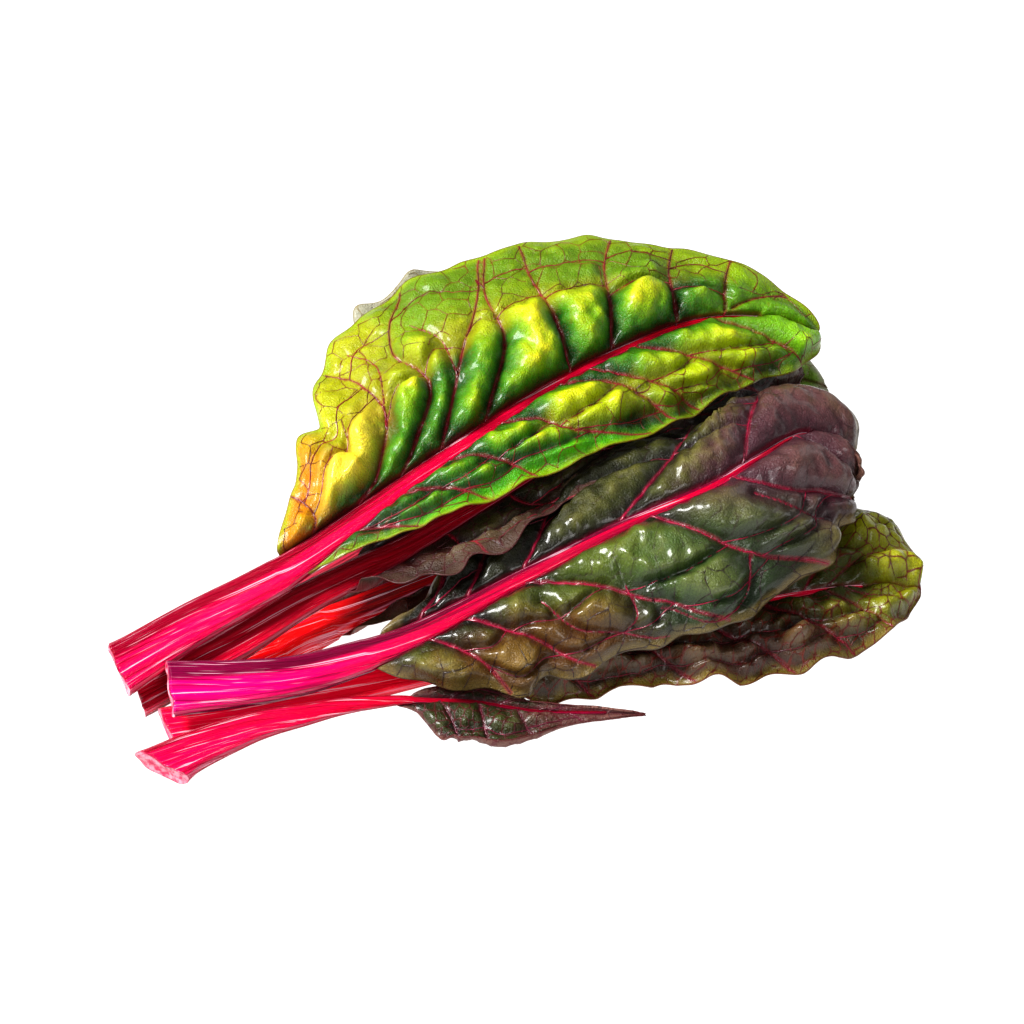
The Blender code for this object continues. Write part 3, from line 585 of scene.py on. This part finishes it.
def weld(obj, distance, outwards=False):
    """Merges the corners that lie within this many millimetres, and can turn all faces outwards."""
    only(obj)
    bpy.ops.object.mode_set(mode="EDIT")
    bpy.ops.mesh.select_all(action="SELECT")
    bpy.ops.mesh.remove_doubles(threshold=distance * MM)
    if outwards:
        bpy.ops.mesh.normals_make_consistent(inside=False)
    bpy.ops.object.mode_set(mode="OBJECT")


def thicken(sheet, upper, under):
    """Gives the sheet its thickness below, with its own finish on the underside."""
    weld(sheet, 0.02)
    sheet.data.materials.append(upper)
    sheet.data.materials.append(under)
    wall = sheet.modifiers.new("thickness", "SOLIDIFY")
    wall.thickness = THICKNESS * MM
    wall.offset = -1
    wall.material_offset = 1
    only(sheet)
    bpy.ops.object.modifier_apply(modifier=wall.name)
    bpy.ops.object.shade_smooth()


def on_surface(grid, lines, radii, sink, inner=0.0):
    """The flat lines laid on the crinkled surface, each point with its radius.

    Points close to the blade's border, or nearer the midrib than the inner share, are left out.
    """
    flat, surface = grid["flat"], grid["surface"]
    flat_steps, real_steps = steps_of(flat), steps_of(surface)
    normal = unit(np.cross(*real_steps))
    tree = kd_tree(flat)
    laid = []
    for line, (first, last) in zip(lines, radii):
        run = []
        for n, place in enumerate(line):
            i, j = divmod(tree.find(Vector((*place, 0)))[1], flat.shape[1])
            if not 0 < i < flat.shape[0] - 2 or grid["rim"][i, j] < 0.8 or grid["edge"][i, j] < inner:
                if len(run) > 2:
                    laid.append(run)
                run = []
                continue
            steps = np.stack([way[i, j] for way in flat_steps], axis=1)
            a, b = np.clip(np.linalg.lstsq(steps, place - flat[i, j], rcond=None)[0], -0.7, 0.7)
            radius = last + (first - last) * (1 - n / (len(line) - 1)) ** 2
            spot = surface[i, j] + a * real_steps[0][i, j] + b * real_steps[1][i, j]
            run.append((spot + normal[i, j] * radius * sink, radius))
        if len(run) > 2:
            laid.append(run)
    return laid


def kd_tree(flat):
    tree = KDTree(flat.shape[0] * flat.shape[1])
    for n, (x, y) in enumerate(flat.reshape(-1, 2)):
        tree.insert((x, y, 0), n)
    tree.balance()
    return tree


def add_veins(name, laid, roundness):
    """Veins along these laid lines, as one mesh; the roundness is Blender's bevel resolution."""
    curve = bpy.data.curves.new(name, "CURVE")
    curve.dimensions = "3D"
    curve.bevel_depth = MM
    curve.bevel_resolution = roundness
    curve.use_fill_caps = True
    for run in laid:
        spline = curve.splines.new("POLY")
        spline.points.add(len(run) - 1)
        for point, (spot, radius) in zip(spline.points, run):
            point.co = (*(spot * MM), 1)
            point.radius = radius
    obj = bpy.data.objects.new(name, curve)
    bpy.context.scene.collection.objects.link(obj)
    only(obj)
    bpy.ops.object.convert(target="MESH")
    obj = bpy.context.object
    bpy.ops.object.shade_smooth()
    return obj


def smoothed(line, step):
    """The flat line with its points this far apart."""
    run = np.linalg.norm(np.diff(line, axis=0), axis=1).sum()
    return curve_through(line, max(4, int(run / step)))


def build_veins(leaf, grid):
    """The raised side veins with their cross links and twigs, and the finest net."""
    sides = [smoothed(line, VEIN_STEP) for line in grid["sides"]]
    radii = [(leaf.vein * (1.35 - line[0][0] / leaf.length), 0.3) for line in sides]
    laid = on_surface(grid, sides, radii, 0.1)
    links = [smoothed(line, VEIN_STEP) for line in grid["links"] + grid["twigs"]]
    radii = [(0.34, 0.28)] * len(grid["links"]) + [(0.48, 0.25)] * len(grid["twigs"])
    laid += on_surface(grid, links, radii, 0.1)
    veins = add_veins(leaf.name + "_veins", laid, 1)
    net = [line + warp(line, leaf.seed + 20) for line in net_lines(grid["seeds"], leaf.mesh)]
    low, high = grid["flat"].reshape(-1, 2).min(axis=0), grid["flat"].reshape(-1, 2).max(axis=0)
    net = [line for line in net if (line.mean(axis=0) > low).all() and (line.mean(axis=0) < high).all()]
    near = distance_to(grid["sides"], np.array([line.mean(axis=0) for line in net]))
    net = [line for line, d in zip(net, near) if d > 1.5]
    laid = on_surface(grid, net, [(0.2, 0.2)] * len(net), 0.0, leaf.net_from)
    return veins, add_veins(leaf.name + "_net", laid, 0)


def stalk_ways(leaf, line, along):
    """The ways ahead, across the channel and up from it, at each point of the stalk's line."""
    ahead = unit(np.gradient(line, axis=0))
    aside = unit(np.stack([-ahead[:, 1], ahead[:, 0], 0 * ahead[:, 0]], axis=1))
    up = np.cross(ahead, aside)
    past = leaf.share_of_blade(along)
    far, near = [smooth_between(part, past) for part in leaf.rise]
    roll = np.radians(leaf.roll + ((far - near) / 2 - leaf.roll) * np.clip(past * 3, 0, 1))[:, None]
    return ahead, np.cos(roll) * aside + np.sin(roll) * up, np.cos(roll) * up - np.sin(roll) * aside


def stalk_section(stalky, x, sin):
    """How high the skin lies over the stalk's middle, in half widths: arched, with a channel on top."""
    channel = (0.05 + 0.42 * stalky)[:, None] * np.exp(-((x / 0.58) ** 2))[None, :]
    channel += (0.10 * stalky)[:, None] * np.exp(-(((x + 0.62) / 0.07) ** 2))[None, :]
    top = (0.42 + 0.10 * stalky)[:, None] * np.abs(sin)[None, :] ** 0.75 - channel
    return np.where(sin[None, :] >= 0, top, -0.60 * np.abs(sin)[None, :] ** 0.85)


def build_stalk(leaf):
    """The ribbed, channelled stalk and the midrib, as one closed skin with a cut face at its end."""
    along = np.linspace(0, RIB_END, int(leaf.length * RIB_END / 1.4))
    run = along * leaf.length
    line = leaf.centre_line(along)
    half = leaf.half_width(along)
    stalky = 1 - ease(along, leaf.base * 0.6, leaf.base + 0.25)
    line[:, 2] += half * (0.12 - (0.12 + FLATNESS * SINK) * stalky)
    ahead, across_way, up_way = stalk_ways(leaf, line, along)

    turn = np.linspace(0, 2 * math.pi, STALK_SIDES + 1)
    cos, sin = np.cos(turn), np.sin(turn)
    x = np.sign(cos) * np.abs(cos) ** 0.9
    y = stalk_section(stalky, x, sin)
    place = np.stack(np.broadcast_arrays(run[:, None] / 55, 1.6 * cos[None, :], 1.6 * sin[None, :]), axis=-1)
    drift = ripple(place, 1.9, leaf.seed + 30) * 0.25
    ribs = sum(
        depth * np.sin(count * turn[None, :] + phase + 2 * drift)
        for count, depth, phase in ((9, 0.020, 0.3), (14, 0.016, 1.9), (23, 0.010, 0.7))
    )
    flare = leaf.flare * np.exp(-run / 9)[:, None]
    ribs = ribs * (0.45 + 0.55 * stalky[:, None]) * (1 - np.exp(-run / 5))[:, None]
    swell = 1 + flare + ribs + 0.03 * ripple(place, 2.4, leaf.seed + 31)
    points = line[:, None] + half[:, None, None] * swell[:, :, None] * (
        x[None, :, None] * across_way[:, None] + y[:, :, None] * up_way[:, None]
    )
    ragged = ripple(np.stack([1.3 * cos, 1.3 * sin], axis=1), 1.4, leaf.seed + 33) * 0.3 + leaf.slant * cos
    fade = np.clip(1 - run / 12, 0, 1)[:, None]
    points -= ahead[0] * (fade * ragged[None, :])[:, :, None]

    end, middle = points[0], points[0].mean(axis=0)
    cap = [middle + (end - middle) * share + ahead[0] * 0.9 * (1 - share**2) for share in CAP_RINGS]
    last, core, push = points[-1], points[-1].mean(axis=0), ahead[-1] * half[-1]
    nose = [core + (last - core) * 0.6 + push * 0.5, core + push * 0.8 + 0 * last]
    skin = np.concatenate([cap, points, nose])
    skin[:, :, 2] = np.maximum(skin[:, :, 2], 0)
    stalk = add_grid(leaf.name + "_ribbed_stalk", skin)

    cut = np.zeros(skin.shape[:2])
    cut[: len(cap)] = 1
    cut[len(cap)] = 0.6
    length, girth = [np.pad(values, (len(cap), len(nose)), mode="edge")[:, None] for values in (run, half)]
    edge = np.exp(-((sin - 0.22) / 0.1) ** 2)
    # across and top tell the finish where to paint shade: on the far side and on the underside
    set_fields(stalk, cut=cut, length=length, edge=edge, top=ease(sin, -0.1, 0.25), across=x)
    set_pattern(stalk, np.stack(np.broadcast_arrays(length, girth * turn), axis=-1))
    weld(stalk, 0.01, outwards=True)
    bpy.ops.object.shade_smooth()
    return stalk


class Number:
    """A number inside a material, so that its shader maths reads as plain expressions."""

    def __init__(self, finish, socket):
        self.finish, self.socket = finish, socket

    def __add__(self, other):
        return self.finish.maths("ADD", self, other)

    def __sub__(self, other):
        return self.finish.maths("SUBTRACT", self, other)

    def __rsub__(self, other):
        return self.finish.maths("SUBTRACT", other, self)

    def __mul__(self, other):
        return self.finish.maths("MULTIPLY", self, other)

    def __truediv__(self, other):
        return self.finish.maths("DIVIDE", self, other)

    def __pow__(self, other):
        return self.finish.maths("POWER", self, other)

    __radd__, __rmul__ = __add__, __mul__


class Finish:
    """A node material, built a node at a time."""

    def __init__(self, name):
        self.material = bpy.data.materials.new(name)
        self.material.use_nodes = True
        self.tree = self.material.node_tree
        self.tree.nodes.clear()
        self.spots = self.node("UVMap", {"uv_map": "pattern"}, {}).outputs["UV"]

    def node(self, kind, settings, sockets):
        made = self.tree.nodes.new("ShaderNode" + kind)
        for name, value in settings.items():
            if name == "stops":
                ends = made.color_ramp.elements
                for end, (at, colour) in ((ends[0], value[0]), (ends[1], value[-1])):
                    end.position, end.color = at, colour
                for at, colour in value[1:-1]:
                    ends.new(at).color = colour
            else:
                setattr(made, name, value)
        for name, value in sockets.items():
            value = value.socket if isinstance(value, Number) else value
            if isinstance(value, bpy.types.NodeSocket):
                self.tree.links.new(value, made.inputs[name])
            else:
                made.inputs[name].default_value = value
        return made

    def maths(self, operation, *values):
        made = self.node("Math", {"operation": operation}, dict(enumerate(values)))
        return Number(self, made.outputs[0])

    def field(self, name):
        return Number(self, self.node("Attribute", {"attribute_name": name}, {}).outputs["Fac"])

    def between(self, value, low, high, top=1.0):
        """0 where the value is low, rising smoothly to top where it is high."""
        sockets = {"Value": value, "From Min": low, "From Max": high, "To Min": 0.0, "To Max": top}
        made = self.node("MapRange", {"interpolation_type": "SMOOTHSTEP"}, sockets)
        return Number(self, made.outputs["Result"])

    def stretched(self, along, across):
        """The flat pattern with its two directions scaled."""
        sockets = {"Vector": self.spots, "Scale": (along, across, 1)}
        return self.node("Mapping", {}, sockets).outputs["Vector"]

    def noise(self, spots, scale, detail):
        sockets = {"Vector": spots, "Scale": scale, "Detail": detail}
        return Number(self, self.node("TexNoise", {}, sockets).outputs["Fac"])

    def cells(self, spots, scale):
        """The distance to the edge of small random cells."""
        sockets = {"Vector": spots, "Scale": scale}
        made = self.node("TexVoronoi", {"feature": "DISTANCE_TO_EDGE"}, sockets)
        return Number(self, made.outputs["Distance"])

    def ramp(self, value, stops):
        stops = [(at, shade(*colour)) for at, colour in stops]
        return self.node("ValToRGB", {"stops": stops}, {"Fac": value}).outputs["Color"]

    def mix(self, share, first, second, blend="MIX"):
        first, second = [shade(*c) if isinstance(c, tuple) else c for c in (first, second)]
        settings = {"data_type": "RGBA", "blend_type": blend, "clamp_factor": True}
        return self.node("Mix", settings, {0: share, 6: first, 7: second}).outputs[2]

    def bump(self, height, depth, under=None):
        sockets = {"Height": height, "Strength": 1.0, "Distance": depth * MM}
        if under:
            sockets["Normal"] = under
        return self.node("Bump", {}, sockets).outputs["Normal"]

    def close(self, sockets):
        shader = self.node("BsdfPrincipled", {}, sockets)
        self.node("OutputMaterial", {}, {"Surface": shader.outputs["BSDF"]})
        return self.material


def shade(red, green, blue):
    """A screen colour, each part from 0 to 255, as the light that it stands for."""
    parts = [c / 255 for c in (red, green, blue)]
    return (*[c / 12.92 if c <= 0.04045 else ((c + 0.055) / 1.055) ** 2.4 for c in parts], 1.0)


# What a leaf looks like unless it is given its own below.
PLAIN_LOOK = dict(net_from=0.05, net_strength=0.6, stalk_at=(0.0, 0.4, 1.0))

# relief: its dark creases are painted shade, and its light crests are partly painted light
# The colours of each leaf, as screen colours from 0 to 255.
#   slot: the name of a material slot for the blade, not used; relief: from the creases to the crests of its
#       swellings
#   margin: the colour of the blade's border and its width in millimetres
#   vein, net, under: of the side veins, of the finest net, and of the underside
#   net_from, net_strength: the share across from which the net's stain shows, and how strongly
#   patches: tinted places, as (share along, share across, reach along, reach across, colour, strength);
#   some are painted shade, and some brighten the leaf's own colour with painted light
#   gloss: how wet the blade looks; glow: how brightly the stalk glows in its own colour, painted light
#   stalk: along the stalk, at these shares of 300 mm (stalk_at)
#   flank: painted shade on the stalk's far side and underside, and its dark strands and grooves
#   shade_from: where the far side's painted shade begins, from -1 at the near side to 1
LOOKS = {
    "top_leaf": dict(
        slot="green_blade",
        relief=[(0.0, (8, 34, 14)), (0.25, (30, 84, 18)), (0.52, (72, 134, 14)), (0.76, (138, 178, 6)),
                (1.0, (210, 208, 20))],
        margin=((146, 176, 14), 5), vein=(140, 8, 36), under=(120, 140, 70),
        net=(120, 34, 10), net_from=0.5, net_strength=0.5,
        # Painted light: the lime of the far margin and the orange of the basal lobe are the leaf's own
        # colours, made brighter for the light that shines through the thin blade.
        patches=[(0.68, 0.9, 0.5, 0.42, (156, 188, 8), 0.85), (0.55, 0.85, 0.15, 0.2, (88, 142, 16), 0.6),
                 (0.72, 0.72, 0.09, 0.2, (76, 128, 20), 0.6), (0.44, 0.78, 0.07, 0.14, (112, 150, 20), 0.6),
                 (0.5, 0.5, 0.3, 0.13, (204, 202, 20), 0.5), (0.29, 0.95, 0.08, 0.7, (246, 146, 4), 0.95),
                 (0.36, 0.45, 0.09, 0.25, (236, 186, 60), 0.55), (0.42, 0.85, 0.1, 0.35, (206, 200, 6), 0.7),
                 (0.5, -0.95, 0.22, 0.22, (90, 200, 0), 0.85), (0.93, 0.0, 0.1, 1.2, (120, 180, 20), 0.7),
                 (0.64, -0.5, 0.08, 0.25, (200, 200, 10), 0.5), (0.78, -0.6, 0.12, 0.35, (180, 192, 8), 0.6)],
        gloss=0.5, glow=0.06,
        stalk=[(228, 0, 84), (236, 0, 74), (226, 0, 44)], flank=(140, 0, 30), shade_from=0.35,
    ),
    "dark_leaf": dict(
        slot="bronze_blade",
        relief=[(0.0, (12, 8, 8)), (0.22, (28, 26, 12)), (0.45, (56, 60, 20)), (0.7, (90, 92, 32)),
                (1.0, (132, 128, 62))],
        margin=((132, 112, 56), 7), vein=(158, 4, 56), under=(130, 90, 80),
        net=(44, 14, 20), net_from=0.1, net_strength=0.5,
        patches=[(0.87, 0.0, 0.2, 1.2, (88, 48, 60), 0.85), (0.45, -0.75, 0.16, 0.5, (112, 70, 26), 0.6),
                 (0.56, -0.3, 0.12, 0.22, (78, 98, 24), 0.6), (0.68, -0.6, 0.14, 0.5, (52, 80, 40), 0.6),
                 # Painted shade: this last patch darkens the far half, which lies in the top leaf's shadow.
                 (0.42, 0.6, 0.33, 0.6, (24, 26, 12), 0.85)],
        gloss=1.0, glow=0.06,
        stalk=[(246, 0, 124), (232, 0, 66), (196, 0, 48)], flank=(88, 6, 44), shade_from=0.3,
    ),
    "second_leaf": dict(
        slot="bronze_blade",
        relief=[(0.0, (22, 20, 14)), (0.3, (44, 44, 20)), (0.6, (70, 70, 28)), (1.0, (108, 100, 54))],
        margin=((88, 66, 54), 9), vein=(170, 10, 50), under=(80, 64, 52),
        net=(80, 20, 30),
        patches=[(0.5, -0.85, 0.5, 0.5, (76, 58, 46), 0.75), (0.36, -0.3, 0.12, 0.5, (54, 14, 18), 0.8)],
        gloss=0.7, glow=0.05,
        stalk=[(206, 2, 50), (190, 0, 38), (186, 0, 40)], flank=(128, 0, 24), shade_from=0.4,
    ),
    "right_leaf": dict(
        slot="olive_blade",
        relief=[(0.0, (24, 22, 10)), (0.3, (52, 52, 14)), (0.6, (86, 84, 22)), (1.0, (128, 118, 40))],
        margin=((140, 120, 40), 6), vein=(134, 6, 42), under=(110, 90, 70),
        net=(112, 30, 10), net_strength=0.85,
        patches=[(0.96, 0.3, 0.15, 1.3, (148, 150, 18), 0.9), (0.88, 0.0, 0.07, 0.5, (40, 54, 22), 0.8),
                 (0.72, -0.8, 0.2, 0.6, (80, 54, 46), 0.8), (0.5, -0.6, 0.2, 0.8, (70, 52, 36), 0.7)],
        gloss=0.6, glow=0.25,
        stalk=[(250, 8, 70), (238, 4, 40), (190, 6, 50)], flank=(190, 4, 30), shade_from=0.8,
    ),
    "small_leaf": dict(
        slot="bronze_blade",
        relief=[(0.0, (24, 26, 14)), (0.4, (56, 62, 26)), (1.0, (98, 106, 42))],
        margin=((126, 84, 76), 5), vein=(100, 20, 46), under=(138, 96, 86),
        net=(90, 24, 30),
        patches=[(0.9, 0.0, 0.16, 1.2, (126, 80, 74), 0.8), (0.66, 0.8, 0.2, 0.5, (120, 84, 74), 0.6)],
        gloss=0.6, glow=0.06,
        stalk=[(232, 4, 84), (206, 2, 46), (64, 10, 26)], stalk_at=(0.0, 0.34, 0.5),
        flank=(160, 2, 36), shade_from=0.6,
    ),
    "hidden_leaf": dict(
        slot="olive_blade",
        relief=[(0.0, (34, 40, 16)), (0.4, (66, 76, 22)), (1.0, (110, 112, 40))],
        margin=((96, 80, 50), 6), vein=(160, 20, 40), under=(110, 96, 70),
        net=(100, 40, 20),
        # Painted shade: the second patch darkens the blade's base, and the stalk darkens from 0.17 to 0.27 of
        # 300 mm along, where the leaf lies under the others.
        patches=[(0.9, 0.0, 0.2, 1.2, (110, 84, 70), 0.7), (0.26, 0.0, 0.16, 1.4, (74, 14, 16), 0.9)],
        gloss=0.5, glow=0.3,
        stalk=[(255, 12, 18), (90, 6, 16), (90, 8, 20)], stalk_at=(0.17, 0.27, 1.0),
        flank=(190, 4, 16), shade_from=0.9,
    ),
    "back_leaf": dict(
        slot="pale_blade",
        relief=[(0.0, (70, 96, 40)), (0.4, (112, 136, 50)), (1.0, (160, 176, 90))],
        margin=((176, 172, 150), 9), vein=(150, 90, 80), under=(166, 166, 148),
        net=(130, 110, 60), net_strength=0.5,
        patches=[(0.95, 0.0, 0.16, 1.2, (110, 150, 40), 0.7), (0.5, 0.9, 0.25, 0.4, (170, 166, 146), 0.7)],
        gloss=0.3, glow=0.0,
        stalk=[(190, 60, 80), (190, 50, 70), (170, 60, 70)], flank=(130, 40, 60), shade_from=0.8,
    ),
}


def blade_finish(name, look, under):
    """The leathery, glossy skin of a blade; its underside is paler and duller."""
    f = Finish(name)
    crest, rim, rib, side, net, along, across = [
        f.field(key) for key in ("crest", "rim", "rib", "side", "net", "along", "across")
    ]
    blotch = f.noise(f.spots, 0.35, 2.0) - 0.5
    mottle = f.noise(f.spots, 1.6, 5.0) - 0.5
    grain = f.noise(f.spots, 14.0, 3.0) - 0.5
    fine = f.cells(f.spots, 5.5)
    # Painted shade and light: the relief ramp darkens the creases, and its lighter crests are partly the
    # leaf's own colour and partly painted light.
    tone = crest * 0.9 + blotch * 0.5 + mottle * 0.55 - 0.04
    colour = f.ramp(tone, look["relief"])
    for u, v, long, wide, tint, strength in look["patches"]:
        away = (((along - u) / long) ** 2 + ((across - v) / wide) ** 2 + mottle * 0.9) ** 0.5
        low, high = [tuple(min(255, int(c * part)) for c in tint) for part in (0.66, 1.15)]
        colour = f.mix(f.between(away, 1.15, 0.45, strength), colour, f.mix(tone * 0.8 + 0.35, low, high))
    border, width = look["margin"]
    colour = f.mix(f.between(rim + mottle * 6, width, width * 0.2, 0.7), colour, border)
    colour = f.mix(f.between(fine, 0.05, 0.01, 0.28), colour, look["net"])
    if under:
        colour = f.mix(0.72, colour, look["under"])
    outward = f.maths("ABSOLUTE", across)
    outer = f.between(outward, look["net_from"], look["net_from"] + 0.15, look["net_strength"])
    colour = f.mix(f.between(net, 0.5, 0.1) * outer, colour, look["net"])
    colour = f.mix(f.between(side + mottle, 1.3, 0.4, 0.5), colour, look["vein"])
    colour = f.mix(f.between(rib + mottle * 2, 1.8, 0.2, 0.4), colour, look["vein"])
    colour = f.mix(f.between(rim, 0.9, 0.2, 0.6), colour, look["net"])
    normal = f.bump(fine ** 0.5, 0.28)
    normal = f.bump(grain + mottle * 1.5, 0.6, normal)
    gloss = mottle * 0.3 + grain * 0.4 + (0.5 if under else 0.34)
    return f.close({"Base Color": colour, "Roughness": gloss, "Normal": normal,
                    "Coat Weight": look["gloss"] * (0.15 if under else 0.5), "Coat Roughness": 0.18,
                    "Specular IOR Level": 0.2 if under else 0.32})


def vein_finish(name, colour, pale):
    """A side vein's smooth skin, with its pale crest lost here and there."""
    f = Finish(name)
    places = f.node("TexCoord", {}, {}).outputs["Object"]
    drift = f.noise(places, 60.0, 3.0)
    fleck = f.noise(places, 900.0, 2.0)
    tint = f.mix(f.between(drift, 0.4, 0.65), colour, tuple(int(c * 0.6) for c in colour))
    tint = f.mix(f.between(fleck, 0.6, 0.75, 0.4), tint, pale)
    return f.close({"Base Color": tint, "Roughness": 0.25 + fleck * 0.2, "Normal": f.bump(fleck, 0.1),
                    "Coat Weight": 0.3, "Coat Roughness": 0.15})


def stalk_finish(name, look):
    """A stalk's juicy skin: long fine strands, pale ridges, and a cut end of pale, mottled pulp."""
    f = Finish(name)
    cut, length, edge, top, across = [f.field(key) for key in ("cut", "length", "edge", "top", "across")]
    fibre = f.noise(f.stretched(0.12, 9.0), 1.0, 4.0)
    strand = f.noise(f.stretched(0.05, 2.2), 1.0, 3.0)
    thread = f.noise(f.stretched(0.3, 16.0), 1.0, 2.0)
    fleck = f.noise(f.stretched(3.0, 12.0), 1.0, 3.0)
    blush = f.noise(f.stretched(0.25, 0.8), 1.0, 2.0)
    stops = zip(look["stalk_at"], look["stalk"])
    skin = f.ramp(length / 300.0 + (blush - 0.5) * 0.3, stops)
    shade_from = look["shade_from"]
    # Painted shade: the far side (across) and the underside (top) darken; the strand and fibre marks in the
    # same darker colour are the stalk's own dark streaks.
    for value, low, high, strength in (
        (across, shade_from - 0.12, shade_from + 0.12, 0.85),
        (strand, 0.5, 0.36, 0.5),
        (top, 0.7, 0.0, 0.85),
        (fibre, 0.47, 0.36, 0.6),
    ):
        skin = f.mix(f.between(value, low, high, strength), skin, look["flank"])
    skin = f.mix(f.between(fibre, 0.58, 0.68, 0.3), skin, (255, 40, 120))
    # Painted highlight: white-pink streaks where threads and strands meet.
    skin = f.mix(f.between(thread * strand, 0.31, 0.36, 0.6), skin, (255, 215, 230))
    skin = f.mix(edge * f.between(fibre, 0.3, 0.6, 0.8), skin, (214, 130, 150))
    places = f.node("TexCoord", {}, {}).outputs["Object"]
    pulp = f.noise(places, 300.0, 4.0)
    pith = f.mix(f.between(pulp, 0.38, 0.66), (222, 52, 96), (250, 170, 186))
    pith = f.mix(f.between(f.cells(places, 520.0), 0.22, 0.36, 0.6), pith, (204, 24, 70))
    skin = f.mix(f.between(cut, 0.3, 0.8, 0.96), skin, pith)
    normal = f.bump((fibre + thread * 0.5) * (1 - cut) + pulp * cut * 0.5, 1.5)
    normal = f.bump(fleck, 0.15, normal)
    # The emission is painted glow: the stalk shines in its own colour, though it is no lamp.
    return f.close({"Base Color": skin, "Roughness": 0.12 + fleck * 0.2, "Normal": normal,
                    "Coat Weight": 0.12, "Coat Roughness": 0.06, "Specular IOR Level": 0.12,
                    "Emission Color": skin, "Emission Strength": look["glow"]})


def dress(leaf, look):
    """Builds a leaf's pieces, gives them their finishes and puts them in the place of its CAD solids."""
    blade, grid = build_blade(leaf)
    title = leaf.name
    upper = blade_finish(title + "_upper_skin", look, False)
    thicken(blade, upper, blade_finish(title + "_lower_skin", look, True))
    veins, net = build_veins(leaf, grid)
    stalk = build_stalk(leaf)
    veins.data.materials.append(vein_finish(title + "_vein_skin", look["vein"], (240, 120, 150)))
    net.data.materials.append(vein_finish(title + "_net_skin", look["net"], look["vein"]))
    stalk.data.materials.append(stalk_finish(title + "_stalk_skin", look))
    for piece in (blade, veins, net, stalk):
        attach(piece, "root")
        look["slot"] if piece in (blade, net) else "stalk"
    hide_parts(title + "_blade")
    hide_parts(title + "_stalk")


def add_light(name, way, distance, size, power):
    """A square soft light that faces the bunch from this direction."""
    way = Vector(way).normalized()
    bpy.ops.object.light_add(type="AREA", location=way * distance)
    light = bpy.context.object
    light.name = name
    light.rotation_euler = way.to_track_quat("Z", "Y").to_euler()
    light.data.size = size
    light.data.energy = power


def set_stage():
    """The white table, the studio's light and the way the picture is developed."""
    bpy.ops.mesh.primitive_plane_add(size=12)
    floor = bpy.context.object
    floor.name = "floor"
    f = Finish("white_table")
    grain = f.noise(f.node("TexCoord", {}, {}).outputs["Object"], 3.0, 2.0)
    white = f.mix(grain, (252, 252, 252), (255, 255, 255))
    paper = f.mix(grain, (112, 112, 112), (118, 118, 118))
    floor.data.materials.append(f.close({"Base Color": paper, "Roughness": 0.9, "Specular IOR Level": 0.1,
                                         "Emission Color": white, "Emission Strength": 0.94}))
    world = bpy.data.worlds.new("studio")
    world.use_nodes = True
    world.node_tree.nodes["Background"].inputs["Color"].default_value = (1, 1, 1, 1)
    world.node_tree.nodes["Background"].inputs["Strength"].default_value = 0.16
    bpy.context.scene.world = world
    add_light("window", (-0.6, 0.3, 0.85), 1.3, 0.45, 27)
    add_light("front_box", (-0.3, -1.0, 0.7), 1.5, 0.5, 4.5)
    add_light("side_box", (1.0, 0.1, 0.6), 1.5, 0.8, 2)
    bpy.context.scene.view_settings.view_transform = "Standard"
    bpy.context.scene.view_settings.look = "Medium High Contrast"


def set_camera():
    """Looks down at the bunch from its near side and to the left."""
    turn, lift = math.radians(-36), math.radians(38)
    back = Vector((math.sin(turn) * math.cos(lift), -math.cos(turn) * math.cos(lift), math.sin(lift)))
    target = Vector((-MIDDLE[0] * MM, -MIDDLE[1] * MM, 0.045))
    bpy.ops.object.camera_add(location=target + back * 1.3, rotation=back.to_track_quat("Z", "Y").to_euler())
    camera = bpy.context.object
    camera.data.lens, camera.data.sensor_width = 100, 36
    bpy.context.scene.camera = camera


for title, spec in LEAVES.items():
    dress(Leaf(title, spec), PLAIN_LOOK | LOOKS[title])
set_stage()
set_camera()
